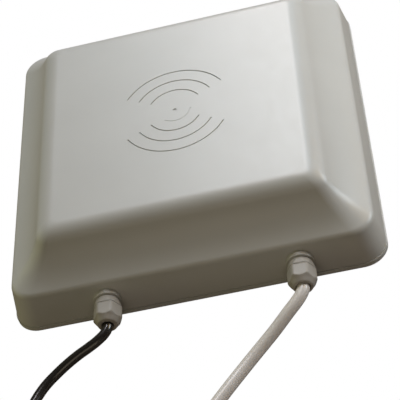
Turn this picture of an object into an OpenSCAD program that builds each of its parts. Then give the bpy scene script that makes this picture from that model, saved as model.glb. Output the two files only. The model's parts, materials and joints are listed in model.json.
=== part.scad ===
// Long-range RFID panel reader: a square plastic housing on an aluminium back plate, with a patch
// antenna and a reader board inside, and a power lead and a data lead that leave through glands.
// The frame: X to the right, Y up the front panel, Z out of the front panel. The back lies on z = 0
// and the two glands are on the -Y wall.

/* [Housing] */
// Width and length of the square housing
body_w = 235; // [230:1:240]
// Height from the back face to the front panel
body_h = 52.5; // [52:0.5:54]
// Height at which the side walls turn into the slopes
wall_h = 26; // [25.5:0.25:26.5]
// How far each side wall leans in over its height
wall_draft = 4.4; // [4.2:0.1:4.6]
// Corner radius of the housing in plan, at the back
corner_r = 16; // [14:1:18]
// Half width of the flat front panel
panel_half = 79.25; // [78.75:0.25:79.75]
// Corner radius of the flat front panel in plan
panel_corner_r = 5; // [4:0.5:7]
// Rounding between the front panel and the slopes
panel_round = 14; // [13:0.5:15]
// Steepness of the slopes where they leave the panel, in degrees
slope_top_angle = 58; // [57:1:59]
// Steepness of the slopes where they reach the walls, in degrees
slope_low_angle = 28; // [27:1:29]
// Radius of the hollow curve of the slopes
cove_r = 52; // [50:1:54]
// Rounding between the slopes and the walls
wall_round = 5; // [4:0.5:6]
// Wall thickness of the plastic cover
cover_t = 3; // [2.5:0.25:3.25]
// Thickness of the aluminium back plate
plate_t = 3; // [2.5:0.25:3]

/* [Front mark] */
// Radius step between the engraved arcs
arc_step = 9; // [8:0.5:9.5]
// Angle that each arc spans, in degrees
arc_span = 120; // [100:5:140]
// Width of an engraved line
arc_line = 0.8; // [0.6:0.1:1.2]
// Depth of an engraved line
arc_depth = 0.6; // [0.3:0.1:0.8]
// Distance between the middles of the upper and the lower arcs
arc_parting = 1.4; // [0:0.2:2]
// How far the mark's centre lies to the right of the middle of the panel
mark_right = 1; // [0:0.5:4]
// How far the mark's centre lies below the middle of the panel
mark_down = 2; // [0:1:4]

/* [Mounting] */
// Distance between the mounting holes, both ways
mount_pitch = 100; // [98:1:102]
// Drilled radius of the M4 mounting threads
mount_hole_r = 1.65; // [1.6:0.05:1.75]
// Depth of the mounting threads
mount_depth = 7.5; // [6:0.5:8]

/* [Glands] */
// Distance of the power gland to the left of the middle
power_gland_x = 54.5; // [53:0.5:56]
// Distance of the data gland to the right of the middle
data_gland_x = 65; // [58:1:67]
// Height of both gland axes above the back face
gland_z = 13.5; // [13:0.5:14]
// Width across the flats of the gland hexagons
gland_flats = 16; // [15:0.5:16]

/* [Hidden] */
$fn = 96;
eps = 0.01;
body_half = body_w / 2;

// Heights inside the housing
board_z = plate_t + 6;
board_t = 1.6;
board_top = board_z + board_t;
ground_z = 26;
ground_t = 1.5;
ground_top = ground_z + ground_t;
patch_z = 42;
patch_t = 1.5;
patch_top = patch_z + patch_t;
feed_t = 1.6;
rim_top = plate_t + 6;

// Gland stack, measured along -Y. Faces that are clamped together keep a hair of air between them.
air = 0.02;
pad_r = 8.6;
pad_y = -(body_half - 0.5);
pad_in_y = pad_y + 4.8;
washer_t = 1;
flange_t = 5;
flange_y = pad_y - washer_t;
nut_back_y = flange_y - flange_t - 0.15;
nut_hex_l = 7.75;
nut_dome_l = 4.6;
nut_tip_r = 5.9;
nut_end_y = nut_back_y - nut_hex_l - nut_dome_l;
gland_r = 8.9;
thread_r = 6.2;
lead_y = nut_end_y + 1.5;
inner_end_y = -92;

// Cover screws: the four corners, then three along each side
screw_corner = 103.5;
screw_side = 104.5;
screw_at = concat(
    [for (x = [-1, 1], y = [-1, 1]) [x * screw_corner, y * screw_corner]],
    [for (t = [-1, 0, 1], s = [-1, 1]) [t * 30, s * screw_side]],
    [for (t = [-1, 0, 1], s = [-1, 1]) [s * screw_side, t * 60]]
);
screw_top = 13;

// Board and antenna fixings
board_x = 60;
board_y = 42;
board_fix = [54, 36];
ground_half = 93;
ground_fix = 84;
patch_half = 74;
spacer_at = 58;
coax_at = [-24, 8];
probe_at = [[30, 0], [0, 30]];

// Diameters of the leads, and the mean radii of their coils
power_d = 6.2;
data_d = 7.8;
power_coil_r = 32;
data_coil_r = 39.5;

// Power lead: from the gland to its coil, then to its socket
power_coil_at = [-91, -233];
power_out_r = power_coil_r + power_d;
power_in_angle = 149.8;
power_low = power_d / 2;
power_route = [
    [-power_gland_x, lead_y, gland_z],
    [-power_gland_x, -137, gland_z],
    [-56, -140.5, 13.3],
    [-60.2, -144.4, 12.7],
    [-66.3, -147.6, 11.4],
    [-73.8, -150.3, 9.3],
    [-81.8, -153.7, 6.7],
    [-88.9, -157.9, 4.6],
    [-95.1, -163.2, 3.5],
    [-99.5, -169, power_low],
    [-102.7, -174.9, power_low],
    [-106.3, -181.5, power_low],
    [-112, -191.5, power_low],
    [-118, -202.4, power_low],
    [power_coil_at.x + power_out_r * cos(power_in_angle),
     power_coil_at.y + power_out_r * sin(power_in_angle), power_low]
];
socket_x = power_coil_at.x - power_out_r;
socket_y = -268;
socket_r = 5.5;
power_tail = [
    [socket_x, -233, 1.5 * power_d],
    [socket_x, -240, 8.9],
    [socket_x, -248, 7.4],
    [socket_x, -255, 6.1],
    [socket_x, -262, socket_r],
    [socket_x, socket_y - 6, socket_r]
];

// Data lead: from the gland to its coil, then to its connector
data_coil_at = [10, -274];
data_out_r = data_coil_r + data_d;
data_in_angle = 141.6;
data_low = data_d / 2;
data_route = [
    [data_gland_x, lead_y, gland_z],
    [data_gland_x, -136, gland_z],
    [63.2, -140.1, 13.1],
    [59.6, -144.6, 12.3],
    [55, -149.1, 11.1],
    [50.2, -153.8, 9.6],
    [45, -158.7, 7.9],
    [39.6, -163.6, 6.4],
    [34, -168.8, 5.1],
    [28.6, -174.3, 4.3],
    [23.6, -179.8, data_low],
    [18.4, -186, data_low],
    [8.6, -198, data_low],
    [-3, -212.7, data_low],
    [-15, -228.3, data_low],
    [data_coil_at.x + data_out_r * cos(data_in_angle),
     data_coil_at.y + data_out_r * sin(data_in_angle), data_low]
];
plug_y = data_coil_at.y - data_out_r;
plug_z = 7.75;
plug_x = 52;
data_tail = [
    [data_coil_at.x, plug_y, 1.5 * data_d],
    [20, plug_y, 11.5],
    [31, plug_y, 10.2],
    [42, plug_y, 8.4],
    [plug_x, plug_y, plug_z],
    [plug_x + 12, plug_y, plug_z]
];

// Nine-way connector, measured along +X from the cable end of its hood
hood_neck_l = 26;
hood_l = 40;
hood_half = 15.5;
neck_half = 7.7;
face_x = plug_x + hood_l;
jack_pitch = 12.5;
jack_shaft_r = 1.5;
jack_gap = 0.05;

// ---- Shapes that repeat ----

// Points of a square with rounded corners at one height, anticlockwise from above
function rounded_ring(half, r, z, steps = 6) = [
    for (q = [0:3], k = [0:steps])
        let (a = 90 * q + 90 * k / steps, c = half - r,
             sx = (q == 0 || q == 3) ? 1 : -1, sy = q < 2 ? 1 : -1)
        [sx * c + r * cos(a), sy * c + r * sin(a), z]
];

// A closed solid through a stack of rings that have the same number of points
module loft(rings) {
    n = len(rings[0]);
    last = len(rings) - 1;
    polyhedron(
        points = [for (ring = rings) for (p = ring) p],
        faces = concat(
            [[for (k = [0:n - 1]) k]],
            [for (i = [0:last - 1], k = [0:n - 1])
                [i * n + k, (i + 1) * n + k, (i + 1) * n + (k + 1) % n, i * n + (k + 1) % n]],
            [[for (k = [n - 1:-1:0]) last * n + k]]
        )
    );
}

// Angle of the side wall from the horizontal, and the centres of the three curves of the slope
wall_angle = 90 - atan(wall_draft / wall_h);
panel_c = [panel_half, body_h - panel_round];
slope_top = panel_c + panel_round * [sin(slope_top_angle), cos(slope_top_angle)];
cove_c = slope_top + cove_r * [sin(slope_top_angle), cos(slope_top_angle)];
slope_low = cove_c - cove_r * [sin(slope_low_angle), cos(slope_low_angle)];
wall_c = slope_low - wall_round * [sin(slope_low_angle), cos(slope_low_angle)];

// Half width and height of the housing's outline, moved inwards by t, from the wall to the panel
function outline(t, foot_z) = concat(
    [[body_half - wall_draft * foot_z / wall_h - t, foot_z]],
    [for (k = [0:4])
        let (a = wall_angle + (slope_low_angle - wall_angle) * k / 4)
        wall_c + (wall_round - t) * [sin(a), cos(a)]],
    [for (k = [1:7])
        let (a = slope_low_angle + (slope_top_angle - slope_low_angle) * k / 8)
        cove_c - (cove_r + t) * [sin(a), cos(a)]],
    [for (k = [0:5])
        let (a = slope_top_angle * (1 - k / 5))
        panel_c + (panel_round - t) * [sin(a), cos(a)]]
);

// Plan radius of the housing's corners where its half width is h
function plan_r(h) = panel_corner_r
    + (corner_r - panel_corner_r) * (h - panel_half) / (body_half - panel_half);

module housing(t, foot_z) {
    loft([for (p = outline(t, foot_z)) rounded_ring(p.x, max(plan_r(p.x + t) - t, 1.5), p.y)]);
}

module rounded_square(half, r) {
    square([2 * half, 2 * (half - r)], center = true);
    square([2 * (half - r), 2 * half], center = true);
    for (x = [-1, 1], y = [-1, 1])
        translate([x * (half - r), y * (half - r)])
            circle(r);
}

module rounded_plate(half, r, z, t) {
    translate([0, 0, z])
        linear_extrude(t)
            rounded_square(half, r);
}

module box(x, y, z) {
    translate([x[0], y[0], z[0]])
        cube([x[1] - x[0], y[1] - y[0], z[1] - z[0]]);
}

// A cylinder along Y between two positions
module y_rod(x, z, y_low, y_high, r_low, r_high) {
    translate([x, y_low, z])
        rotate([-90, 0, 0])
            cylinder(h = y_high - y_low, r1 = r_low, r2 = r_high);
}

// A cylinder along X between two positions
module x_rod(y, z, x_low, x_high, r) {
    translate([x_low, y, z])
        rotate([0, 90, 0])
            cylinder(h = x_high - x_low, r = r);
}

module hex(flats, h) {
    cylinder(h = h, r = flats / 2 / cos(30), $fn = 6);
}

// A hexagon along Y with a flat on top
module y_hex(x, z, y_low, y_high, flats) {
    translate([x, y_low, z])
        rotate([-90, 0, 0])
            hex(flats, y_high - y_low);
}

module corners(x, y) {
    for (sx = [-1, 1], sy = [-1, 1])
        translate([sx * x, sy * y, 0])
            children();
}

// A threaded spacer with a shank pressed into the back plate
module standoff(top, flats) {
    difference() {
        union() {
            translate([0, 0, plate_t])
                hex(flats, top - plate_t);
            translate([0, 0, plate_t - 1.8])
                cylinder(h = 1.9, r = 2.05);
        }
        translate([0, 0, top - 6])
            cylinder(h = 7, r = 1.5);
    }
}

// A pan-head screw whose head stands on z = 0
module pan_screw(r, l, head_r, head_h) {
    difference() {
        union() {
            cylinder(h = head_h * 0.6, r = head_r);
            translate([0, 0, head_h * 0.6])
                cylinder(h = head_h * 0.4, r1 = head_r, r2 = head_r * 0.7);
            translate([0, 0, -l])
                cylinder(h = l + eps, r = r);
        }
        for (a = [0, 90])
            rotate([0, 0, a])
                translate([-head_r * 0.55, -0.35, head_h * 0.5])
                    cube([head_r * 1.1, 0.7, head_h]);
    }
}

// Directions along a route of points, one for each point
function route_dir(p, i) =
    let (d = p[min(i + 1, len(p) - 1)] - p[max(i - 1, 0)]) d / norm(d);

// A tube swept along a route of points
module tube(route, r, sides) {
    loft([
        for (i = [0:len(route) - 1])
            let (d = route_dir(route, i), s = cross(d, [0, 0, 1]), side = s / norm(s),
                 up = cross(side, d))
            [for (k = [0:sides - 1])
                let (a = -360 * k / sides)
                route[i] + r * (cos(a) * side + sin(a) * up)]
    ]);
}

// The closed outer shape of a round coil: three turns wide and two turns high
module coil_solid(at, mean_r, d) {
    half = 1.5 * d;
    cut = 0.3 * d;
    translate([at.x, at.y, 0])
        rotate_extrude()
            polygon([
                [mean_r - half + cut, 0], [mean_r + half - cut, 0],
                [mean_r + half, cut], [mean_r + half, 2 * d - cut],
                [mean_r + half - cut, 2 * d], [mean_r - half + cut, 2 * d],
                [mean_r - half, 2 * d - cut], [mean_r - half, cut]
            ]);
}

// ---- Housing ----

module arc_groove(r, start, span) {
    rotate([0, 0, start])
        rotate_extrude(angle = span)
            translate([r - arc_line / 2, 0])
                square([arc_line, arc_depth + 1]);
}

module cover() {
    color("#c9c8c0")
        difference() {
            union() {
                difference() {
                    housing(0, plate_t);
                    housing(cover_t, rim_top);
                    rounded_plate(107, 6, plate_t - 1, rim_top - plate_t + 1.2);
                }
                for (p = screw_at)
                    translate([p.x, p.y, plate_t])
                        cylinder(h = screw_top + 3 - plate_t, r = 4.2);
                for (x = [-power_gland_x, data_gland_x])
                    y_rod(x, gland_z, pad_y, pad_in_y, pad_r, pad_r);
            }
            // Pocket in the wall and its rim for each locknut, and the hole for each gland
            for (x = [-power_gland_x, data_gland_x]) {
                box([x - 11, x + 11], [pad_in_y, pad_in_y + 9], [4.8, gland_z + pad_r]);
                y_rod(x, gland_z, pad_y - 1, pad_in_y + 1, thread_r + 0.1, thread_r + 0.1);
            }
            // Groove for the gasket
            translate([0, 0, plate_t - 1])
                linear_extrude(2)
                    difference() {
                        rounded_square(115.2, 13.2);
                        rounded_square(112.8, 10.8);
                    }
            for (p = screw_at)
                translate([p.x, p.y, plate_t - 1])
                    cylinder(h = screw_top - plate_t + 2, r = 1.5);
            // Engraved mark: a dot between two sets of arcs, and a shallow arc below the dot
            translate([mark_right, -mark_down, body_h - arc_depth]) {
                cylinder(h = 2, r = 1.2);
                for (k = [2:4], s = [-1, 1])
                    translate([0, s * arc_parting / 2, 0])
                        arc_groove(k * arc_step, s * 90 - arc_span / 2, arc_span);
                translate([0, 0, arc_depth * 0.7])
                    arc_groove(1.15 * arc_step, -130, 125);
            }
        }
}

module back_plate() {
    color("#bdbcb4")
        difference() {
            rounded_plate(body_half, corner_r, 0, plate_t);
            for (p = screw_at)
                translate([p.x, p.y, 0]) {
                    translate([0, 0, -eps])
                        cylinder(h = 1.7 + eps, r1 = 3.2, r2 = 1.6);
                    cylinder(h = plate_t + 1, r = 1.6);
                }
            corners(mount_pitch / 2, mount_pitch / 2)
                translate([0, 0, -1])
                    cylinder(h = plate_t + 2, r = 3.2);
            corners(board_fix.x, board_fix.y)
                translate([0, 0, plate_t - 1.9])
                    cylinder(h = 3, r = 2.1);
            corners(ground_fix, ground_fix)
                translate([0, 0, plate_t - 1.9])
                    cylinder(h = 3, r = 2.1);
        }
}

module gasket() {
    color("#2a2a2a")
        translate([0, 0, plate_t])
            linear_extrude(1)
                difference() {
                    rounded_square(115.1, 13.1);
                    rounded_square(112.9, 10.9);
                }
}

module cover_screws() {
    color("#9a9a98")
        for (p = screw_at)
            translate([p.x, p.y, 0])
                difference() {
                    union() {
                        translate([0, 0, 0.1])
                            cylinder(h = 1.5, r1 = 3, r2 = 1.5);
                        translate([0, 0, 1.5])
                            cylinder(h = screw_top - 1.5, r = 1.45);
                    }
                    translate([0, 0, -1])
                        hex(2, 2);
                }
}

module mount_inserts() {
    color("#c8c8c4")
        corners(mount_pitch / 2, mount_pitch / 2)
            difference() {
                union() {
                    cylinder(h = plate_t, r = 3.15);
                    translate([0, 0, plate_t])
                        cylinder(h = mount_depth + 1.5 - plate_t, r = 4.2);
                }
                translate([0, 0, -1])
                    cylinder(h = mount_depth + 1, r = mount_hole_r);
            }
}

// ---- Antenna ----

module ground_plane() {
    color("#c4c7ca")
        difference() {
            rounded_plate(ground_half, 8, ground_z, ground_t);
            translate([0, 0, ground_z - 1]) {
                corners(ground_fix, ground_fix)
                    cylinder(h = 4, r = 1.6);
                corners(spacer_at, spacer_at)
                    cylinder(h = 4, r = 1.6);
                cylinder(h = 4, r = 2.1);
                translate([coax_at.x, coax_at.y, 0])
                    cylinder(h = 4, r = 3.2);
            }
        }
}

module ground_standoffs() {
    color("#c9a24a")
        corners(ground_fix, ground_fix)
            standoff(ground_z, 6);
}

module ground_screws() {
    color("#a8a8a6")
        corners(ground_fix, ground_fix)
            translate([0, 0, ground_top])
                pan_screw(1.45, 7, 2.8, 2);
}

module patch() {
    cut = 22;
    color("#d0d2d4")
        difference() {
            translate([0, 0, patch_z])
                linear_extrude(patch_t)
                    polygon([
                        [-patch_half, -patch_half], [patch_half - cut, -patch_half],
                        [patch_half, cut - patch_half], [patch_half, patch_half],
                        [cut - patch_half, patch_half], [-patch_half, patch_half - cut]
                    ]);
            translate([0, 0, patch_z - 1]) {
                corners(spacer_at, spacer_at)
                    cylinder(h = 4, r = 1.6);
                cylinder(h = 4, r = 2.1);
                for (p = probe_at)
                    translate([p.x, p.y, 0])
                        cylinder(h = 4, r = 1.3);
            }
        }
}

module patch_spacers() {
    color("#eeece4")
        corners(spacer_at, spacer_at)
            translate([0, 0, ground_top])
                difference() {
                    cylinder(h = patch_z - ground_top, r = 4);
                    translate([0, 0, -1])
                        cylinder(h = patch_z - ground_top + 2, r = 1.6);
                }
}

module patch_screws() {
    color("#f2f0e8")
        corners(spacer_at, spacer_at)
            translate([0, 0, patch_top])
                pan_screw(1.5, patch_top - ground_z + 3, 2.8, 2.2);
}

module patch_nuts() {
    color("#f2f0e8")
        corners(spacer_at, spacer_at)
            translate([0, 0, ground_z - 2.4])
                difference() {
                    hex(5.5, 2.4);
                    translate([0, 0, -1])
                        cylinder(h = 5, r = 1.55);
                }
}

module centre_post() {
    color("#c9a24a")
        translate([0, 0, ground_top])
            difference() {
                cylinder(h = patch_z - ground_top, r = 5);
                translate([0, 0, -1])
                    cylinder(h = patch_z - ground_top + 2, r = 1.7);
            }
}

module centre_post_screws() {
    color("#a8a8a6") {
        translate([0, 0, patch_top])
            pan_screw(1.65, 7, 3.5, 2.4);
        translate([0, 0, ground_z])
            mirror([0, 0, 1])
                pan_screw(1.65, 7, 3.5, 2.4);
    }
}

module feed_board() {
    color("#2f6b3a")
        difference() {
            rounded_plate(36, 2, ground_top, feed_t);
            translate([0, 0, ground_top - 1]) {
                cylinder(h = 4, r = 5.6);
                for (p = probe_at)
                    translate([p.x, p.y, 2.2])
                        cylinder(h = 2, r = 1.25);
            }
        }
}

module feed_probes() {
    color("#c9a24a")
        for (p = probe_at)
            translate([p.x, p.y, ground_top + 1.2])
                cylinder(h = patch_top + 0.8 - ground_top - 1.2, r = 1.2);
}

module coax_pigtail() {
    color("#8a6a3a")
        translate([coax_at.x, coax_at.y, board_top + 4])
            cylinder(h = ground_top - board_top - 4, r = 1.3);
}

module coax_plug() {
    color("#d6b04c")
        translate([coax_at.x, coax_at.y, board_top]) {
            cylinder(h = 2.4, r = 2.6);
            translate([0, 0, 2.4])
                cylinder(h = 1.6, r = 2);
        }
}

// ---- Reader electronics ----

module reader_board() {
    color("#1f5a35")
        difference() {
            translate([0, 0, board_z])
                linear_extrude(board_t)
                    square([2 * board_x, 2 * board_y], center = true);
            corners(board_fix.x, board_fix.y)
                translate([0, 0, board_z - 1])
                    cylinder(h = 4, r = 1.6);
        }
}

module board_standoffs() {
    color("#c9a24a")
        corners(board_fix.x, board_fix.y)
            difference() {
                union() {
                    translate([0, 0, plate_t])
                        hex(5.5, board_z - plate_t);
                    translate([0, 0, plate_t - 1.8])
                        cylinder(h = 1.9, r = 2.05);
                }
                translate([0, 0, plate_t + 0.5])
                    cylinder(h = board_z, r = 1.5);
            }
}

module board_screws() {
    color("#a8a8a6")
        corners(board_fix.x, board_fix.y)
            translate([0, 0, board_top])
                pan_screw(1.45, 6, 2.8, 2);
}

module rf_shield() {
    wall = 0.4;
    color("#cfd1d3")
        difference() {
            box([-10, 50], [-14, 34], [board_top, board_top + 7]);
            box([-10 + wall, 50 - wall], [-14 + wall, 34 - wall], [board_top - 1, board_top + 7 - wall]);
        }
}

module rf_chips() {
    color("#26262a") {
        box([0, 12], [0, 12], [board_top, board_top + 1.4]);
        box([22, 30], [2, 10], [board_top, board_top + 1.2]);
        box([34, 44], [-8, 2], [board_top, board_top + 1.6]);
        box([16, 26], [18, 28], [board_top, board_top + 2.5]);
    }
}

module board_parts() {
    color("#26262a") {
        box([-46, -32], [-12, 2], [board_top, board_top + 1.4]);
        box([-34, -26], [-30, -24], [board_top, board_top + 3]);
        box([2, 12], [-34, -26], [board_top, board_top + 1.8]);
        for (y = [10, 20])
            translate([-52, y, board_top])
                cylinder(h = 8, r = 3.1);
    }
}

module buzzer() {
    color("#1c1c1e")
        translate([-36, 28, board_top])
            difference() {
                cylinder(h = 9, r = 6);
                translate([0, 0, 6])
                    cylinder(h = 4, r = 1.2);
            }
}

// A two-way screw terminal with its wire entries facing -Y
module power_terminal() {
    color("#2f7d46")
        difference() {
            box([-49.5, -38.5], [-39, -30], [board_top, board_top + 9]);
            for (x = [-46.7, -41.3]) {
                y_rod(x, board_top + 4, -40, -33, 1.2, 1.2);
                translate([x, -34.5, board_top + 5])
                    cylinder(h = 5, r = 1.6);
            }
        }
}

module data_header() {
    color("#e6e3d8")
        difference() {
            box([24, 44], [-40, -32], [board_top, board_top + 6.5]);
            for (k = [0:5])
                y_rod(26.5 + 3 * k, board_top + 3.6, -41, -34, 0.9, 0.9);
        }
}

module heat_spreader() {
    color("#b4b8bc")
        box([0, 40], [-10, 20], [plate_t, board_z - 0.5]);
}

module thermal_pad() {
    color("#7f8fa6")
        box([0, 40], [-10, 20], [board_z - 0.5, board_z]);
}

// ---- Glands ----

module gland_washer(x) {
    difference() {
        y_rod(x, gland_z, pad_y - washer_t, pad_y - air, 7.2, 7.2);
        y_rod(x, gland_z, pad_y - 3, pad_y + 1, thread_r + 0.1, thread_r + 0.1);
    }
}

module gland_body(x) {
    difference() {
        union() {
            intersection() {
                y_hex(x, gland_z, flange_y - flange_t, flange_y, gland_flats);
                y_rod(x, gland_z, flange_y - flange_t, flange_y, gland_r, 7.6);
            }
            y_rod(x, gland_z, nut_end_y + 4.5, -104, thread_r, thread_r);
        }
        y_rod(x, gland_z, nut_end_y, -100, 4.2, 4.2);
        y_rod(x, gland_z, nut_end_y, -123, 5.2, 5.2);
    }
}

module gland_seal(x, lead_d) {
    difference() {
        y_rod(x, gland_z, nut_end_y + 4.4, -123.2, 5.15, 5.15);
        y_rod(x, gland_z, nut_end_y, -120, lead_d / 2, lead_d / 2);
    }
}

module gland_nut(x, lead_d) {
    mouth_r = lead_d / 2 + 0.6;
    difference() {
        union() {
            intersection() {
                y_hex(x, gland_z, nut_end_y + nut_dome_l * 0.6, nut_back_y, gland_flats);
                y_rod(x, gland_z, nut_end_y + nut_dome_l * 0.6, nut_end_y + nut_dome_l, 7.5, gland_r);
            }
            intersection() {
                y_hex(x, gland_z, nut_end_y + nut_dome_l, nut_back_y, gland_flats);
                y_rod(x, gland_z, nut_end_y + nut_dome_l, nut_back_y, gland_r, gland_r);
            }
            y_rod(x, gland_z, nut_end_y, nut_end_y + nut_dome_l * 0.6, nut_tip_r, 7.5);
        }
        y_rod(x, gland_z, nut_end_y + 4.3, nut_back_y + 1, thread_r + 0.1, thread_r + 0.1);
        y_rod(x, gland_z, nut_end_y - 1, nut_back_y, mouth_r, mouth_r);
    }
}

module gland_locknut(x) {
    difference() {
        y_hex(x, gland_z, pad_in_y + air, pad_in_y + 3.6, gland_flats);
        y_rod(x, gland_z, pad_in_y - 1, pad_in_y + 5, thread_r + 0.1, thread_r + 0.1);
    }
}

module power_gland_washer() { color("#bdbcb4") gland_washer(-power_gland_x); }
module power_gland_body() { color("#bdbcb4") gland_body(-power_gland_x); }
module power_gland_seal() { color("#222222") gland_seal(-power_gland_x, power_d); }
module power_gland_nut() { color("#bdbcb4") gland_nut(-power_gland_x, power_d); }
module power_gland_locknut() { color("#bdbcb4") gland_locknut(-power_gland_x); }
module data_gland_washer() { color("#bdbcb4") gland_washer(data_gland_x); }
module data_gland_body() { color("#bdbcb4") gland_body(data_gland_x); }
module data_gland_seal() { color("#222222") gland_seal(data_gland_x, data_d); }
module data_gland_nut() { color("#bdbcb4") gland_nut(data_gland_x, data_d); }
module data_gland_locknut() { color("#bdbcb4") gland_locknut(data_gland_x); }

// ---- Leads inside the housing ----

module power_inner_cable() {
    color("#1a1a1a")
        y_rod(-power_gland_x, gland_z, lead_y, inner_end_y, power_d / 2, power_d / 2);
}

module data_inner_cable() {
    color("#b8b4ac")
        y_rod(data_gland_x, gland_z, lead_y, inner_end_y, data_d / 2, data_d / 2);
}

module power_wires() {
    color("#a03030")
        for (s = [-1, 1])
            tube([
                [s * 1.3 - power_gland_x, inner_end_y, gland_z],
                [s * 1.3 - power_gland_x, -84, gland_z],
                [s * 1.8 - 53, -70, 14],
                [s * 2.4 - 48, -56, 14.4],
                [s * 2.7 - 44, -46, board_top + 4],
                [s * 2.7 - 44, -34, board_top + 4]
            ], 0.9, 8);
}

module data_wires() {
    color("#3a5fa0")
        for (k = [0:3])
            tube([
                [data_gland_x + 1.7 * (k - 1.5), inner_end_y, gland_z],
                [data_gland_x + 1.7 * (k - 1.5), -86, gland_z],
                [56 + 2 * (k - 1.5), -72, 14.6],
                [44 + 2.5 * (k - 1.5), -58, 15],
                [34 + 3 * (k - 1.5), -47, board_top + 3.6],
                [34 + 3 * (k - 1.5), -35, board_top + 3.6]
            ], 0.7, 8);
}

// ---- Leads outside, as they lie ----

module power_lead() { color("#1a1a1a") tube(power_route, power_d / 2, 10); }
module power_coil() { color("#1a1a1a") coil_solid(power_coil_at, power_coil_r, power_d); }
module power_tail_lead() { color("#1a1a1a") tube(power_tail, power_d / 2, 10); }
module data_lead() { color("#b8b4ac") tube(data_route, data_d / 2, 10); }
module data_coil() { color("#b8b4ac") coil_solid(data_coil_at, data_coil_r, data_d); }
module data_tail_lead() { color("#b8b4ac") tube(data_tail, data_d / 2, 10); }

// ---- Power socket on the end of the power lead ----

module power_socket_body() {
    color("#1c1c1c")
        difference() {
            union() {
                y_rod(socket_x, socket_r, socket_y - 11, socket_y, 5, 3.9);
                y_rod(socket_x, socket_r, socket_y - 36, socket_y - 11, socket_r, socket_r);
            }
            y_rod(socket_x, socket_r, socket_y - 37, socket_y - 24, 3.5, 3.5);
            y_rod(socket_x, socket_r, socket_y - 6, socket_y + 1, power_low, power_low);
        }
}

module power_socket_sleeve() {
    color("#d0d0d0")
        difference() {
            y_rod(socket_x, socket_r, socket_y - 35, socket_y - 24, 3.45, 3.45);
            y_rod(socket_x, socket_r, socket_y - 36, socket_y - 25, 2.85, 2.85);
        }
}

module power_socket_pin() {
    color("#d8c07a")
        y_rod(socket_x, socket_r, socket_y - 34, socket_y - 25, 1.05, 1.05);
}

// ---- Nine-way connector on the end of the data lead ----

// Outline of the D-shaped shell, wider at the top, across Y and up Z
module d_outline(w, h) {
    lean = h * tan(10);
    c = 1.2;
    polygon([
        [-w / 2 + c, h / 2], [-w / 2, h / 2 - c], [-w / 2 + lean, c - h / 2],
        [-w / 2 + lean + c, -h / 2], [w / 2 - lean - c, -h / 2],
        [w / 2 - lean, c - h / 2], [w / 2, h / 2 - c], [w / 2 - c, h / 2]
    ]);
}

module d_prism(w, h, x_low, x_high) {
    translate([x_low, plug_y, plug_z])
        rotate([90, 0, 90])
            linear_extrude(x_high - x_low)
                d_outline(w, h);
}

// Screw holes, their collar pockets and the space for the wires inside the hood
module hood_space() {
    box([plug_x + 14, face_x - 6], [plug_y - 6, plug_y + 6], [2, 13.5]);
    box([face_x - 12, face_x + 1], [plug_y - 9, plug_y + 9], [2, 13.5]);
    x_rod(plug_y, plug_z, plug_x - 1, plug_x + 15, data_low + 0.05);
    for (s = [-1, 1]) {
        x_rod(plug_y + s * jack_pitch, plug_z, plug_x + hood_neck_l - 1, face_x + 1,
              jack_shaft_r + jack_gap);
        x_rod(plug_y + s * jack_pitch, plug_z, face_x - 8, face_x - 5, 2.6);
    }
}

module hood_half(z_low, z_high) {
    difference() {
        union() {
            box([plug_x, face_x], [plug_y - neck_half, plug_y + neck_half], [z_low, z_high]);
            box([plug_x + hood_neck_l, face_x], [plug_y - hood_half, plug_y + hood_half], [z_low, z_high]);
        }
        hood_space();
    }
}

module data_hood_upper() { color("#c6c2b8") hood_half(plug_z, 2 * plug_z); }
module data_hood_lower() { color("#c6c2b8") hood_half(0, plug_z); }

module data_plug_shell() {
    color("#d2d4d6")
        difference() {
            union() {
                translate([face_x, plug_y - 15.3, plug_z - 6.2])
                    cube([0.8, 30.6, 12.4]);
                d_prism(16.4, 8, face_x - 6, face_x + 6);
            }
            d_prism(15.6, 7.2, face_x - 7, face_x + 7);
            for (s = [-1, 1])
                x_rod(plug_y + s * jack_pitch, plug_z, face_x - 1, face_x + 2, jack_shaft_r + 0.1);
        }
}

// Two rows of contacts, five above four
contact_at = concat(
    [for (k = [-2:2]) [2.74 * k, 1.42]],
    [for (k = [-1.5:1.5]) [2.74 * k, -1.42]]
);

module data_plug_insulator() {
    color("#20222a")
        difference() {
            d_prism(15.5, 7.1, face_x - 5, face_x + 5.6);
            for (p = contact_at)
                x_rod(plug_y + p.x, plug_z + p.y, face_x - 6, face_x + 7, 0.7);
        }
}

module data_plug_contacts() {
    color("#d8c07a")
        for (p = contact_at)
            difference() {
                x_rod(plug_y + p.x, plug_z + p.y, face_x - 9, face_x + 4.6, 0.65);
                x_rod(plug_y + p.x, plug_z + p.y, face_x - 2, face_x + 5, 0.5);
            }
}

// A captive screw: knurled head, plain shaft, collar inside the hood, threaded tip
module thumbscrew(side) {
    y = plug_y + side * jack_pitch;
    head_x = plug_x + hood_neck_l;
    color("#c8cacc")
        difference() {
            union() {
                x_rod(y, plug_z, head_x - 12, head_x - 0.3, 3.6);
                for (k = [0:11])
                    translate([head_x - 11, y, plug_z])
                        rotate([30 * k, 0, 0])
                            translate([0, -0.3, 3.2])
                                cube([9.5, 0.6, 0.8]);
                x_rod(y, plug_z, head_x - 1, face_x + 5.4, jack_shaft_r);
                x_rod(y, plug_z, face_x - 7.5, face_x - 5.5, 2.3);
            }
            translate([head_x - 13, y - 0.4, plug_z - 4])
                cube([2, 0.8, 8]);
        }
}

module thumbscrew_left() { thumbscrew(-1); }
module thumbscrew_right() { thumbscrew(1); }

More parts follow.
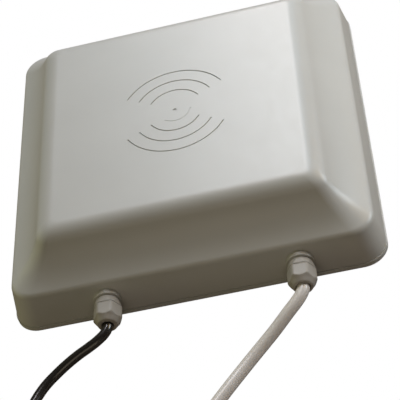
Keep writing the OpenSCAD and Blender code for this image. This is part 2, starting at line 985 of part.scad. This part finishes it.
cover();
back_plate();
gasket();
cover_screws();
mount_inserts();
ground_plane();
ground_standoffs();
ground_screws();
patch();
patch_spacers();
patch_screws();
patch_nuts();
centre_post();
centre_post_screws();
feed_board();
feed_probes();
coax_pigtail();
coax_plug();
reader_board();
board_standoffs();
board_screws();
rf_shield();
rf_chips();
board_parts();
buzzer();
power_terminal();
data_header();
heat_spreader();
thermal_pad();
power_gland_washer();
power_gland_body();
power_gland_seal();
power_gland_nut();
power_gland_locknut();
power_inner_cable();
power_wires();
data_gland_washer();
data_gland_body();
data_gland_seal();
data_gland_nut();
data_gland_locknut();
data_inner_cable();
data_wires();
power_lead();
power_coil();
power_tail_lead();
power_socket_body();
power_socket_sleeve();
power_socket_pin();
data_lead();
data_coil();
data_tail_lead();
data_hood_upper();
data_hood_lower();
data_plug_shell();
data_plug_insulator();
data_plug_contacts();
thumbscrew_left();
thumbscrew_right();
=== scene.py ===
"""A long-range RFID panel reader lying on its back, with its power lead and data lead.

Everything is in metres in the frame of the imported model: the origin is the centre of the back,
+Z comes out of the front panel, and the two glands are on the -Y wall.
"""
import json
from math import atan, cos, degrees, floor, pi, radians, sin

import bmesh
import bpy
from mathutils import Matrix, Vector, geometry


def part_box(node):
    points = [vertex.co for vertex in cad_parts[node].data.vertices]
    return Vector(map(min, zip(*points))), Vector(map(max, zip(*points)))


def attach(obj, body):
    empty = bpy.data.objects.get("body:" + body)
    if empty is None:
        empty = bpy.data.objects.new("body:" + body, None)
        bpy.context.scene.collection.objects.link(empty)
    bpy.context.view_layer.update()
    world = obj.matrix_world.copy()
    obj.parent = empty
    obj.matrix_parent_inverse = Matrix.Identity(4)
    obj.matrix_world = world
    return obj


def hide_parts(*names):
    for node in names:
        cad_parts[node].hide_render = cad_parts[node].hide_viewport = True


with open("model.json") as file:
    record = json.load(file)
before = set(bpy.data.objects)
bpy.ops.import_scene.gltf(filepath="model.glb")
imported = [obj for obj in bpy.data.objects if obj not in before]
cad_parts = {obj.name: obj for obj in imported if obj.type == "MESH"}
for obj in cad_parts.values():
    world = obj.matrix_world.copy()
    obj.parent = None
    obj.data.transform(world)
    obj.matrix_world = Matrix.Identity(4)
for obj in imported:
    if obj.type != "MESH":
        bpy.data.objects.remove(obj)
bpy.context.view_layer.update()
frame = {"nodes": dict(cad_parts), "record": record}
NODES = frame["nodes"]
BODY = "reader"
MM = 0.001

# ---- Camera ----

CAMERA_AT = Vector((145.2, -691.5, 658.8)) * MM
CAMERA_RIGHT = Vector((0.96828, -0.03812, -0.24696))
CAMERA_DOWN = Vector((-0.19913, -0.71473, -0.67046))
SENSOR = 36.0
LENS = 130.9
CLIP_START = 0.05


def add_object(name, data):
    piece = bpy.data.objects.new(name, data)
    bpy.context.scene.collection.objects.link(piece)
    return piece


def make_camera():
    data = bpy.data.cameras.new("camera")
    data.sensor_width = SENSOR
    data.lens = LENS
    data.clip_start = CLIP_START
    camera = add_object("camera", data)
    right = CAMERA_RIGHT.normalized()
    back = right.cross(-CAMERA_DOWN).normalized()
    up = back.cross(right)
    turn = Matrix((right, up, back)).transposed()
    camera.matrix_world = Matrix.Translation(CAMERA_AT) @ turn.to_4x4()
    bpy.context.scene.camera = camera


# ---- Meshes ----

def mesh_piece(name, points, faces, material):
    mesh = bpy.data.meshes.new(name)
    mesh.from_pydata([tuple(p) for p in points], [], faces)
    mesh.validate()
    mesh.update()
    mesh.materials.append(material)
    return add_object(name, mesh)


def smooth(piece, angle=30):
    """Smooth shading, with creases sharper than the angle in degrees left as edges."""
    mesh = piece.data
    mesh.polygons.foreach_set("use_smooth", [True] * len(mesh.polygons))
    mesh.set_sharp_from_angle(angle=radians(angle))


def loft(name, rings, material, closed=True):
    """A surface through rings of the same number of points, with both ends filled if closed."""
    n = len(rings[0])
    points = [p for ring in rings for p in ring]
    faces = []
    for i in range(len(rings) - 1):
        for k in range(n):
            j = (k + 1) % n
            faces.append((i * n + k, i * n + j, (i + 1) * n + j, (i + 1) * n + k))
    if closed:
        faces.append(tuple(range(n))[::-1])
        last = (len(rings) - 1) * n
        faces.append(tuple(range(last, last + n)))
    return mesh_piece(name, points, faces, material)


def rounded_ring(half, r, z, steps=14):
    """A square with round corners of radius r, at height z."""
    points = []
    for q in range(4):
        sx = 1 if q in (0, 3) else -1
        sy = 1 if q < 2 else -1
        for k in range(steps + 1):
            a = radians(90 * q + 90 * k / steps)
            points.append(Vector((sx * (half - r) + r * cos(a), sy * (half - r) + r * sin(a), z)))
    return points


def full_turn(count):
    """Evenly spaced angles of one turn, in radians."""
    return [2 * pi * k / count for k in range(count)]


# ---- Materials ----

class Shader:
    """A material with one Principled BSDF, and short calls that add nodes to it."""

    def __init__(self, name):
        self.material = bpy.data.materials.new(name)
        self.material.use_nodes = True
        self.tree = self.material.node_tree
        self.bsdf = self.tree.nodes["Principled BSDF"]

    def node(self, kind, **values):
        node = self.tree.nodes.new(kind)
        for key, value in values.items():
            if hasattr(node, key):
                setattr(node, key, value)
            else:
                node.inputs[key.replace("_", " ")].default_value = value
        return node

    def link(self, source, target):
        self.tree.links.new(source, target)

    def set(self, **values):
        for key, value in values.items():
            self.bsdf.inputs[key.replace("_", " ")].default_value = value

    def noise(self, scale, detail=3.0):
        where = self.node("ShaderNodeNewGeometry")
        noise = self.node("ShaderNodeTexNoise", Scale=scale, Detail=detail)
        self.link(where.outputs["Position"], noise.inputs["Vector"])
        return noise.outputs["Fac"]

    def spread(self, source, low, high):
        """Maps 0.3 to 0.7, where most of a noise lies, to low to high."""
        ramp = self.node("ShaderNodeMapRange")
        ramp.inputs["From Min"].default_value = 0.3
        ramp.inputs["From Max"].default_value = 0.7
        ramp.inputs["To Min"].default_value = low
        ramp.inputs["To Max"].default_value = high
        self.link(source, ramp.inputs["Value"])
        return ramp.outputs["Result"]

    def tint(self, colour, factor):
        """Base colour multiplied by a grey factor."""
        mix = self.node("ShaderNodeVectorMath", operation="SCALE")
        mix.inputs[0].default_value = colour[:3]
        self.link(factor, mix.inputs["Scale"])
        self.link(mix.outputs["Vector"], self.bsdf.inputs["Base Color"])

    def bump(self, height, strength, distance, edge=0.0):
        """Bump from a height, over edges softened to the radius edge."""
        bump = self.node("ShaderNodeBump", Strength=strength, Distance=distance)
        self.link(height, bump.inputs["Height"])
        if edge:
            bevel = self.node("ShaderNodeBevel", samples=6, Radius=edge)
            self.link(bevel.outputs["Normal"], bump.inputs["Normal"])
        self.link(bump.outputs["Normal"], self.bsdf.inputs["Normal"])


def moulded(name, colour, rough=0.5, grain=2600, edge=0.0004, cloud=0.05):
    """Moulded plastic: slightly uneven colour and gloss over a fine grain."""
    shader = Shader(name)
    clouds = shader.noise(22, 4.0)
    shader.tint(colour, shader.spread(clouds, 1 - cloud, 1 + cloud))
    shader.link(shader.spread(shader.noise(240), rough - 0.03, rough + 0.03),
                shader.bsdf.inputs["Roughness"])
    shader.bump(shader.noise(grain, 2.0), 0.5, 0.00003, edge)
    return shader.material


def metal(name, colour, rough=0.3, edge=0.0003):
    """Turned or rolled metal with fine marks."""
    shader = Shader(name)
    shader.set(Metallic=1.0)
    shader.tint(colour, shader.spread(shader.noise(300, 4.0), 0.92, 1.05))
    shader.link(shader.spread(shader.noise(900), rough - 0.08, rough + 0.1),
                shader.bsdf.inputs["Roughness"])
    shader.bump(shader.noise(1500, 2.0), 0.3, 0.00002, edge)
    return shader.material


def jacket(name, colour, rough, gloss=0.5):
    """A cable's jacket: satin, with a faint unevenness."""
    shader = Shader(name)
    shader.set(Specular_IOR_Level=gloss)
    shader.tint(colour, shader.spread(shader.noise(60, 1.0), 0.96, 1.04))
    shader.link(shader.spread(shader.noise(50, 0.0), rough - 0.03, rough + 0.03),
                shader.bsdf.inputs["Roughness"])
    shader.bump(shader.noise(120, 0.0), 0.1, 0.00005)
    return shader.material


HOUSING_COLOUR = (0.60, 0.595, 0.57)

HOUSING = moulded("housing_plastic", HOUSING_COLOUR, rough=0.34, grain=1500, edge=0.0, cloud=0.02)
GLAND = moulded("gland_nylon", (0.45, 0.42, 0.38), rough=0.45, edge=0.0016)
PAINTED = moulded("painted_plate", HOUSING_COLOUR, rough=0.45)
PLATE = metal("plate_metal", (0.62, 0.62, 0.62), rough=0.42)
STEEL = metal("screw_steel", (0.62, 0.62, 0.60), rough=0.3)
NICKEL = metal("nickel_plate", (0.78, 0.77, 0.74), rough=0.22)
GOLD = metal("gold_plate", (0.83, 0.62, 0.28), rough=0.25)
BRASS = metal("brass", (0.70, 0.52, 0.24), rough=0.35)
SHEET = metal("sheet_metal", (0.75, 0.76, 0.77), rough=0.32)
SEAL = moulded("seal_rubber", (0.02, 0.02, 0.02), rough=0.6)
BLACK = jacket("black_jacket", (0.026, 0.023, 0.02), 0.26, gloss=1.0)
STRAP = jacket("strap_black", (0.03, 0.03, 0.03), 0.55)
WHITE = jacket("white_jacket", (0.90, 0.85, 0.815), 0.3, gloss=0.9)
CHIP = moulded("chip_black", (0.02, 0.02, 0.022), rough=0.45)
HOOD = moulded("hood_plastic", (0.52, 0.50, 0.46), rough=0.45, edge=0.0005)
BOARD = moulded("solder_mask", (0.02, 0.12, 0.05), rough=0.3, cloud=0.1)
NYLON = moulded("natural_nylon", (0.80, 0.78, 0.70), rough=0.4)
CREAM = moulded("header_plastic", (0.75, 0.70, 0.60), rough=0.45)
GREEN = moulded("terminal_plastic", (0.03, 0.22, 0.08), rough=0.45)
PAD = moulded("thermal_pad", (0.25, 0.30, 0.40), rough=0.7)
RED_WIRE = jacket("power_wire", (0.35, 0.02, 0.02), 0.35)
BLUE_WIRE = jacket("data_wire", (0.05, 0.12, 0.35), 0.35)

FINISH = {
    "cover_plastic": HOUSING, "plate_painted": PAINTED, "plate_aluminium": PLATE,
    "sheet_aluminium": SHEET, "gasket_rubber": SEAL, "steel": STEEL, "stainless_insert": STEEL,
    "brass": BRASS, "nylon": NYLON, "board_green": BOARD, "tinned_shield": SHEET,
    "chip_black": CHIP, "terminal_green": GREEN, "header_cream": CREAM, "thermal_pad": PAD,
    "gland_plastic": GLAND, "black_jacket": BLACK, "white_jacket": WHITE,
    "power_wire": RED_WIRE, "data_wire": BLUE_WIRE, "copper_coax": BRASS, "nickel": NICKEL,
    "gold_contact": GOLD, "hood_grey": HOOD,
}


def finish_cad_nodes():
    """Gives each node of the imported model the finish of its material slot."""
    for part in frame["record"]["subparts"]:
        mesh = NODES[part["node"]].data
        mesh.materials.clear()
        mesh.materials.append(FINISH[part["material_slot"]])


# ---- Leads ----
# Routes, coils, straps and diameters are in millimetres, and angles in degrees from +X

GLAND_X = {"power": -54.5, "data": 65}
GLAND_Z = 13.5
LEAD_START = -134
POWER_D = 6.2
POWER_COIL = (-91, -233)
POWER_COIL_R = 32
POWER_COIL_START = 149.8
POWER_COIL_TURNS = 5 + 30.2 / 360
POWER_ROUTE = [
    (GLAND_X["power"], LEAD_START, GLAND_Z), (GLAND_X["power"], -137, GLAND_Z),
    (-56, -140.5, 13.3), (-60.2, -144.4, 12.7), (-66.3, -147.6, 11.4), (-73.8, -150.3, 9.3),
    (-81.8, -153.7, 6.7), (-88.9, -157.9, 4.6), (-95.1, -163.2, 3.5), (-99.5, -169, 3.1),
    (-102.7, -174.9, 3.1), (-106.3, -181.5, 3.1), (-112, -191.5, 3.1), (-118, -202.4, 3.1),
]
POWER_TAIL = [
    (-129.2, -240, 8.9), (-129.2, -248, 7.4), (-129.2, -255, 6.1), (-129.2, -262, 5.5),
    (-129.2, -274, 5.5),
]
DATA_D = 7.8
DATA_COIL = (10, -274)
DATA_COIL_R = 39.5
DATA_COIL_START = 141.6
DATA_COIL_TURNS = 5 + 128.4 / 360
DATA_ROUTE = [
    (GLAND_X["data"], LEAD_START, GLAND_Z), (GLAND_X["data"], -136, GLAND_Z),
    (63.2, -140.1, 13.1), (59.6, -144.6, 12.3), (55, -149.1, 11.1), (50.2, -153.8, 9.6),
    (45, -158.7, 7.9), (39.6, -163.6, 6.4), (34, -168.8, 5.1), (28.6, -174.3, 4.3),
    (23.6, -179.8, 3.9), (18.4, -186, 3.9), (8.6, -198, 3.9), (-3, -212.7, 3.9),
    (-15, -228.3, 3.9),
]
DATA_TAIL = [
    (20, -321.3, 11.5), (31, -321.3, 10.2), (42, -321.3, 8.4), (52, -321.3, 7.75),
    (64, -321.3, 7.75),
]
# Where each turn of a coil lies: offset from the mean radius and height, both in diameters
COIL_CELLS = [(1, 0.5), (0, 0.5), (-1, 0.5), (-1, 1.5), (0, 1.5), (1, 1.5)]
TURN_POINTS = 24
# The last part of each turn, in which the lead steps over to the next cell
CROSS_OVER = 0.22


def coil_points(centre, mean_r, d, start, turns):
    """Points along a wound coil, anticlockwise from the angle start, in millimetres."""
    points = []
    count = round(turns * TURN_POINTS)
    for i in range(count + 1):
        t = turns * i / count
        turn = min(int(floor(t + 1e-9)), len(COIL_CELLS) - 1)
        part = max(0.0, (t - turn - 1 + CROSS_OVER) / CROSS_OVER)
        part = part * part * (3 - 2 * part)
        here = Vector(COIL_CELLS[turn])
        after = Vector(COIL_CELLS[min(turn + 1, len(COIL_CELLS) - 1)])
        offset, level = here.lerp(after, part)
        a = radians(start) + 2 * pi * t
        r = mean_r + offset * d
        points.append((centre[0] + r * cos(a), centre[1] + r * sin(a), level * d))
    return points


def lead_curve(name, points, d, material):
    data = bpy.data.curves.new(name, "CURVE")
    data.dimensions = "3D"
    data.bevel_depth = d * MM / 2
    data.bevel_resolution = 8
    data.resolution_u = 6
    data.use_fill_caps = True
    spline = data.splines.new("BEZIER")
    spline.bezier_points.add(len(points) - 1)
    for knot, p in zip(spline.bezier_points, points):
        knot.co = Vector(p) * MM
        knot.handle_left_type = "AUTO"
        knot.handle_right_type = "AUTO"
    data.materials.append(material)
    return add_object(name, data)


TIE_WIDTH = 7
TIE_THICK = 0.7
TIE_TURNS = 5
TIE_ANGLES = (20, 235)
TIE_LOWEST = 0.05
TIE_CREASE = 50


def make_tie(name, centre, mean_r, d, angle):
    """A strap drawn tight round the turns of a coil, at an angle where they lie side by side."""
    a = radians(angle)
    out = Vector((cos(a), sin(a), 0))
    along = Vector((-sin(a), cos(a), 0))
    middle = Vector((centre[0], centre[1], 0)) + mean_r * out

    def around(clearance):
        reach = d / 2 + clearance
        return [Vector((offset * d + reach * cos(b), max(level * d + reach * sin(b), TIE_LOWEST)))
                for offset, level in COIL_CELLS[:TIE_TURNS] for b in full_turn(32)]

    def place(point, at):
        return (middle + point.x * out + at * TIE_WIDTH * along + Vector((0, 0, point.y))) * MM

    outer = around(TIE_THICK)
    inner = around(0)
    loop = geometry.convex_hull_2d(outer)
    corners = ((outer, -0.5), (outer, 0.5), (inner, 0.5), (inner, -0.5), (outer, -0.5))
    rings = [[place(side[i], at) for i in loop] for side, at in corners]
    tie = loft(name, rings, STRAP, closed=False)
    smooth(tie, TIE_CREASE)
    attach(tie, BODY)


def make_leads():
    power = POWER_ROUTE + coil_points(POWER_COIL, POWER_COIL_R, POWER_D, POWER_COIL_START,
                                      POWER_COIL_TURNS) + POWER_TAIL
    data = DATA_ROUTE + coil_points(DATA_COIL, DATA_COIL_R, DATA_D, DATA_COIL_START,
                                    DATA_COIL_TURNS) + DATA_TAIL
    power_lead = lead_curve("power_lead_cable", power, POWER_D, BLACK)
    data_lead = lead_curve("data_lead_cable", data, DATA_D, WHITE)
    for lead in (power_lead, data_lead):
        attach(lead, BODY)
    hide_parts("power_lead", "power_coil", "power_tail_lead")
    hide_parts("data_lead", "data_coil", "data_tail_lead")
    for name, centre, mean_r, d in (("power", POWER_COIL, POWER_COIL_R, POWER_D),
                                    ("data", DATA_COIL, DATA_COIL_R, DATA_D)):
        for i, angle in enumerate(TIE_ANGLES):
            make_tie(f"{name}_tie_{i + 1}", centre, mean_r, d, angle)


# ---- Housing ----
# The outline and the mark are in millimetres; the angles of the slopes are in degrees from
# straight up, and those of the mark in degrees from +X

PANEL_HALF = 79.25
PANEL_CORNER = 5
PANEL_ROUND = 14
PLATE_CORNER = 16
WALL_H = 26
WALL_DRAFT = 4.4
WALL_ROUND = 5
COVE_R = 52
SLOPE_TOP = 58
SLOPE_LOW = 28
FOOT_ROUND = 0.5
# How far the outline runs inwards, at the foot and on the panel, and its extra point on the wall
FOOT_INSET = 4
PANEL_INSET = 1
WALL_POINT = 12
SMALLEST_CORNER = 2


def arc(centre, r, start, stop, steps, ends=(True, True)):
    """Points of an arc in the outline's plane, its angle measured from straight up."""
    first = 0 if ends[0] else 1
    last = steps if ends[1] else steps - 1
    points = []
    for k in range(first, last + 1):
        a = radians(start + (stop - start) * k / steps)
        points.append(centre + r * Vector((sin(a), cos(a))))
    return points


def housing_outline(half, top, foot):
    """Half width and height of the cover from its foot to the middle of the panel, in mm."""
    wall_angle = 90 - degrees(atan(WALL_DRAFT / WALL_H))
    top_dir = Vector((sin(radians(SLOPE_TOP)), cos(radians(SLOPE_TOP))))
    low_dir = Vector((sin(radians(SLOPE_LOW)), cos(radians(SLOPE_LOW))))
    panel_c = Vector((PANEL_HALF, top - PANEL_ROUND))
    cove_c = panel_c + (PANEL_ROUND + COVE_R) * top_dir
    wall_c = cove_c - (COVE_R + WALL_ROUND) * low_dir
    foot_x = half - WALL_DRAFT * foot / WALL_H
    foot_c = Vector((foot_x - FOOT_ROUND, foot + FOOT_ROUND))
    outline = [Vector((foot_x - FOOT_INSET, foot))]
    outline += arc(foot_c, FOOT_ROUND, 180, wall_angle, 5)
    outline.append(Vector((foot_x - WALL_DRAFT / WALL_H * WALL_POINT, foot + WALL_POINT)))
    outline += arc(wall_c, WALL_ROUND, wall_angle, SLOPE_LOW, 12)
    outline += arc(cove_c, -COVE_R, SLOPE_LOW, SLOPE_TOP, 18, ends=(False, False))
    outline += arc(panel_c, PANEL_ROUND, SLOPE_TOP, 0, 14)
    outline.append(Vector((PANEL_HALF - PANEL_INSET, top)))
    return outline


MARK_AT = Vector((1, -2, 0))
MARK_STEP = 9
MARK_SPAN = 120
MARK_PARTING = 1.4
MARK_LINE = 0.8
MARK_DEPTH = 0.6
MARK_DOT_R = 1.2
MARK_LEVELS = (2, 3, 4)
# The shallow arc round the dot: its radius in steps, first angle, span and share of the depth
FAINT_LEVEL = 1.15
FAINT_START = -130
FAINT_SPAN = 125
FAINT_SHARE = 0.3


def mark_cutter(top):
    """One mesh of the engraved dot and arcs, standing through the panel, in millimetres."""
    mesh = bmesh.new()

    def add_strip(centre, r, start, span, depth):
        steps = 40
        rings = []
        for k in range(steps + 1):
            a = radians(start + span * k / steps)
            ring = []
            for half, z in ((-1, -depth), (1, -depth), (1, 1), (-1, 1)):
                reach = r + half * MARK_LINE / 2
                here = Vector((reach * cos(a), reach * sin(a), top + z))
                ring.append(mesh.verts.new(centre + here))
            rings.append(ring)
        mesh.faces.new(rings[0])
        mesh.faces.new(rings[-1][::-1])
        for here, after in zip(rings, rings[1:]):
            for k in range(4):
                j = (k + 1) % 4
                mesh.faces.new((here[k], after[k], after[j], here[j]))

    for side in (-1, 1):
        centre = MARK_AT + Vector((0, side * MARK_PARTING / 2, 0))
        for level in MARK_LEVELS:
            add_strip(centre, level * MARK_STEP, side * 90 - MARK_SPAN / 2, MARK_SPAN, MARK_DEPTH)
    add_strip(MARK_AT, FAINT_LEVEL * MARK_STEP, FAINT_START, FAINT_SPAN, MARK_DEPTH * FAINT_SHARE)
    dot_at = Matrix.Translation(MARK_AT + Vector((0, 0, top)))
    bmesh.ops.create_cone(mesh, cap_ends=True, segments=32, radius1=MARK_DOT_R, radius2=MARK_DOT_R,
                          depth=2 * MARK_DEPTH, matrix=dot_at)
    bmesh.ops.recalc_face_normals(mesh, faces=mesh.faces)
    bmesh.ops.scale(mesh, vec=(MM, MM, MM), verts=mesh.verts)
    data = bpy.data.meshes.new("mark_cutter")
    mesh.to_mesh(data)
    mesh.free()
    return add_object("mark_cutter", data)


def make_cover():
    """The plastic cover as a closed shell, with the mark cut into its panel."""
    low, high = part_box("cover")
    foot = low[2] / MM
    top = high[2] / MM
    half = high[0] / MM + WALL_DRAFT * foot / WALL_H
    rings = []
    for p in housing_outline(half, top, foot):
        out = (p.x - PANEL_HALF) / (half - PANEL_HALF)
        r = PANEL_CORNER + (PLATE_CORNER - PANEL_CORNER) * out
        rings.append([v * MM for v in rounded_ring(p.x, max(r, SMALLEST_CORNER), p.y)])
    cover = loft("cover_shell", rings, HOUSING)
    cutter = mark_cutter(top)
    cut = cover.modifiers.new("mark", "BOOLEAN")
    cut.operation = "DIFFERENCE"
    cut.solver = "EXACT"
    cut.object = cutter
    graph = bpy.context.evaluated_depsgraph_get()
    cut_mesh = bpy.data.meshes.new_from_object(cover.evaluated_get(graph))
    cover.modifiers.clear()
    cover.data = cut_mesh
    bpy.data.objects.remove(cutter)
    smooth(cover)
    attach(cover, BODY)
    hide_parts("cover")


PAD_DEPTH = 4.8 * MM
PAD_R = 8.6 * MM
PAD_BORE_R = 6.3 * MM
PAD_EDGE = 0.4 * MM


def make_gland_pads():
    """The round raised pads of the cover that the gland washers sit on."""
    for name in ("power", "data"):
        low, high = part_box(f"{name}_gland_washer")
        centre = Vector(((low[0] + high[0]) / 2, high[1], GLAND_Z * MM))
        profile = [(PAD_R, PAD_DEPTH), (PAD_R, PAD_EDGE), (PAD_R - PAD_EDGE * 0.3, PAD_EDGE * 0.3),
                   (PAD_R - PAD_EDGE, 0), (PAD_BORE_R, 0)]
        rings = [[centre + Vector((r * cos(a), y, r * sin(a))) for a in full_turn(64)]
                 for r, y in profile]
        pad = loft(f"{name}_gland_pad", rings, HOUSING, closed=False)
        smooth(pad)
        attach(pad, BODY)


# ---- Surroundings ----

LIGHT_AIM = Vector((0, 0, 0.03))
# Name, place, size, power in watts and colour
LIGHTS = (
    ("far_panel", (0, 1.4, 1.3), (0.4, 1.8), 19.8, (1, 0.93, 0.95)),
    ("high_panel", (0, 1.15, 1.15), (0.6, 0.6), 3.25, (0.55, 0.86, 1)),
    ("back_panel", (0.3, 0.7, 0.65), (0.2, 0.9), 1.13, (0.54, 0.79, 1)),
    ("left_panel", (-1.6, 0, 0.5), (2.0, 1.0), 5.2, (1, 0.98, 0.5)),
    ("front_panel", (0, -1.4, 0.8), (1.2, 0.8), 2.4, (1, 0.86, 0.66)),
    ("low_right", (0.55, 0.1, 0.25), (0.3, 0.2), 1.43, (0.82, 0.92, 1)),
    ("near_right", (0.42, 0.15, 0.40), (0.3, 0.3), 0.5, (1, 0.65, 0.2)),
)
WORLD_COLOUR = (1, 0.95, 0.9, 1)
WORLD_STRENGTH = 0.01
FLOOR_HALF = 6
FLOOR_Z = -0.0002


def area_light(name, place, size, power, colour):
    data = bpy.data.lights.new(name, "AREA")
    data.shape = "RECTANGLE"
    data.size, data.size_y = size
    data.energy = power
    data.color = colour
    light = add_object(name, data)
    turn = (LIGHT_AIM - Vector(place)).to_track_quat("-Z", "Y").to_matrix()
    light.matrix_world = Matrix.Translation(place) @ turn.to_4x4()


def make_floor():
    """A white surface: pure white to the camera, and dull and warm in the light it sends back."""
    shader = Shader("floor_white")
    shader.set(Base_Color=(0.20, 0.155, 0.12, 1), Roughness=1.0)
    path = shader.node("ShaderNodeLightPath")
    white = shader.node("ShaderNodeEmission", Strength=1.0)
    mix = shader.node("ShaderNodeMixShader")
    out = shader.tree.nodes["Material Output"]
    shader.link(path.outputs["Is Camera Ray"], mix.inputs[0])
    shader.link(shader.bsdf.outputs["BSDF"], mix.inputs[1])
    shader.link(white.outputs["Emission"], mix.inputs[2])
    shader.link(mix.outputs["Shader"], out.inputs["Surface"])
    shader.material.cycles.emission_sampling = "NONE"
    corners = [(x * FLOOR_HALF, y * FLOOR_HALF, FLOOR_Z)
               for x, y in ((-1, -1), (1, -1), (1, 1), (-1, 1))]
    mesh_piece("floor", corners, [(0, 1, 2, 3)], shader.material)


def make_light():
    """The lights, and a world that is white to the camera and almost dark otherwise."""
    world = bpy.data.worlds.new("world")
    bpy.context.scene.world = world
    world.use_nodes = True
    tree = world.node_tree
    back = tree.nodes["Background"]
    back.inputs["Color"].default_value = WORLD_COLOUR
    back.inputs["Strength"].default_value = WORLD_STRENGTH
    white = tree.nodes.new("ShaderNodeBackground")
    path = tree.nodes.new("ShaderNodeLightPath")
    mix = tree.nodes.new("ShaderNodeMixShader")
    tree.links.new(path.outputs["Is Camera Ray"], mix.inputs[0])
    tree.links.new(back.outputs[0], mix.inputs[1])
    tree.links.new(white.outputs[0], mix.inputs[2])
    tree.links.new(mix.outputs[0], tree.nodes["World Output"].inputs["Surface"])
    for light in LIGHTS:
        area_light(*light)


def make_settings():
    scene = bpy.context.scene
    scene.view_settings.view_transform = "Standard"
    scene.view_settings.look = "None"


make_camera()
make_leads()
finish_cad_nodes()
make_cover()
make_gland_pads()
make_floor()
make_light()
make_settings()
